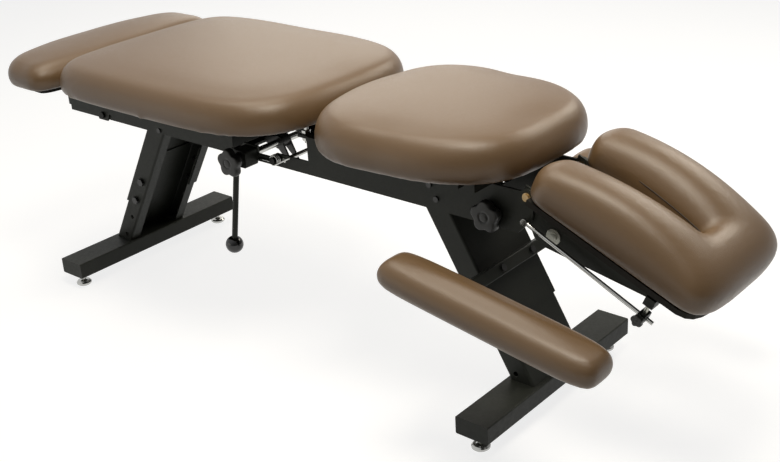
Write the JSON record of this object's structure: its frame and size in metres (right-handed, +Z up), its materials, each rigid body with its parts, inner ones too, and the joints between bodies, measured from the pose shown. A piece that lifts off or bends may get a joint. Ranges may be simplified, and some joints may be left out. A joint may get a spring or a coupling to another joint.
{
  "type": "chiropractic table",
  "caption": "Low treatment table with brown cushions, a drop pelvic section worked by a lever, a tilting face cushion, an ankle rest that slides and armrests on splayed legs.",
  "frame": {"origin": "on the floor, under the middle of the table's outline", "axes": "+X along the table to the head end, +Y across to the side away from the lever, +Z up"},
  "size_m": [1.804, 0.71, 0.6],
  "materials": {
    "painted": "black powder coat, semi-matt",
    "chrome": "polished",
    "steel": "bright zinc plated",
    "brass": "yellow passivated",
    "plastic": "moulded, fine grain",
    "gloss": "polished phenolic",
    "rubber": "moulded",
    "board": "plywood",
    "vinyl": "smooth brown vinyl, soft sheen"
  },
  "bodies": {
    "frame": {"rear_foot_bar": "painted", "front_foot_bar": "painted", "foot_end_caps": "painted", "leveller_nuts": "steel", "rear_lower_leg": "painted", "front_lower_leg": "painted", "rear_upper_leg": "painted", "front_upper_leg": "painted", "frame_bolts": "steel", "near_side_plate": "painted", "far_side_plate": "painted", "frame_cross_members": "painted", "rubber_bumpers": "rubber", "stop_bolts": "chrome", "bearing_block": "painted", "shaft_bushes": "brass", "torsion_spring": "chrome", "frame_pins": "chrome", "pivot_bolts": "brass", "chest_supports": "painted", "chest_board": "board", "chest_cushion": "vinyl", "armrest_bar": "painted"},
    "leveller_rear_near": {"leveller_rear_near": "chrome"},
    "leveller_rear_far": {"leveller_rear_far": "chrome"},
    "leveller_front_near": {"leveller_front_near": "chrome"},
    "leveller_front_far": {"leveller_front_far": "chrome"},
    "pelvic_section": {"tray_near_side": "painted", "tray_far_side": "painted", "tray_cross_bars": "painted", "tray_beams": "painted", "ankle_guides": "plastic", "pelvic_board": "board", "pelvic_cushion": "vinyl"},
    "ankle_rest": {"ankle_slide_tubes": "painted", "ankle_board": "board", "ankle_cushion": "vinyl"},
    "lever": {"drop_shaft": "chrome", "lift_cam": "steel", "cocking_lever": "painted", "lever_ball": "gloss"},
    "cam_roller": {"cam_roller": "steel"},
    "tension_knob": {"tension_knob": "plastic", "tension_stem": "steel"},
    "front_knob": {"front_knob": "plastic", "front_knob_stem": "steel"},
    "head_section": {"head_near_plate": "painted", "head_far_plate": "painted", "head_spacer_tube": "painted", "head_spacer_bolts": "steel", "head_board": "board", "head_cushion": "vinyl", "rod_clamp": "plastic", "clamp_stud": "steel"},
    "tilt_rod": {"tilt_rod": "chrome"},
    "clamp_knob": {"clamp_knob": "plastic"},
    "near_armrest": {"near_arm_bracket": "painted", "near_arm_pad": "vinyl"},
    "far_armrest": {"far_arm_bracket": "painted", "far_arm_pad": "vinyl"}
  },
  "joints": [
    {"name": "pelvic_drop", "type": "hinge", "parent": "frame", "child": "pelvic_section", "pos_m": [-0.71797, 0, 0.408], "axis": [0, -1, 0], "range_deg": [0, 1.83]},
    {"name": "lever_swing", "type": "hinge", "parent": "frame", "child": "lever", "pos_m": [-0.20497, 0, 0.41], "axis": [0, 1, 0], "range_deg": [0, 25]},
    {"name": "cam_roller_spin", "type": "hinge", "parent": "lever", "child": "cam_roller", "pos_m": [-0.23997, 0, 0.41], "axis": [0, 1, 0], "continuous": true},
    {"name": "tension_knob_turn", "type": "hinge", "parent": "lever", "child": "tension_knob", "pos_m": [-0.20497, -0.1466, 0.41], "axis": [0, 1, 0], "continuous": true},
    {"name": "ankle_slide", "type": "slide", "parent": "pelvic_section", "child": "ankle_rest", "axis": [-1, 0, 0], "range_m": [0, 0.15]},
    {"name": "front_knob_turn", "type": "hinge", "parent": "frame", "child": "front_knob", "pos_m": [0.43403, -0.096, 0.422], "axis": [0, 1, 0], "continuous": true},
    {"name": "head_tilt", "type": "hinge", "parent": "frame", "child": "head_section", "pos_m": [0.51503, 0, 0.473], "axis": [0, -1, 0], "range_deg": [-6.6, 23.4]},
    {"name": "tilt_rod_swing", "type": "hinge", "parent": "frame", "child": "tilt_rod", "pos_m": [0.51603, -0.106, 0.428], "axis": [0, -1, 0], "range_deg": [-7.5, 25.2]},
    {"name": "clamp_knob_turn", "type": "hinge", "parent": "head_section", "child": "clamp_knob", "pos_m": [0.75961, -0.106, 0.3105], "axis": [0, 1, 0], "continuous": true},
    {"name": "near_armrest_tilt", "type": "hinge", "parent": "frame", "child": "near_armrest", "pos_m": [0.4159, -0.215, 0.282], "axis": [0, 1, 0], "range_deg": [-9, 20]},
    {"name": "far_armrest_tilt", "type": "hinge", "parent": "frame", "child": "far_armrest", "pos_m": [0.4159, 0.215, 0.282], "axis": [0, 1, 0], "range_deg": [-15, 14]},
    {"name": "leveller_rear_near_screw", "type": "slide", "parent": "frame", "child": "leveller_rear_near", "axis": [0, 0, -1], "range_m": [0, 0.012]},
    {"name": "leveller_rear_far_screw", "type": "slide", "parent": "frame", "child": "leveller_rear_far", "axis": [0, 0, -1], "range_m": [0, 0.012]},
    {"name": "leveller_front_near_screw", "type": "slide", "parent": "frame", "child": "leveller_front_near", "axis": [0, 0, -1], "range_m": [0, 0.012]},
    {"name": "leveller_front_far_screw", "type": "slide", "parent": "frame", "child": "leveller_front_far", "axis": [0, 0, -1], "range_m": [0, 0.012]}
  ],
  "couplings": [
    {"joint": "lever_swing", "follows": "pelvic_drop", "ratio": 13.66},
    {"joint": "tilt_rod_swing", "follows": "head_tilt", "ratio": 1.05}
  ]
}
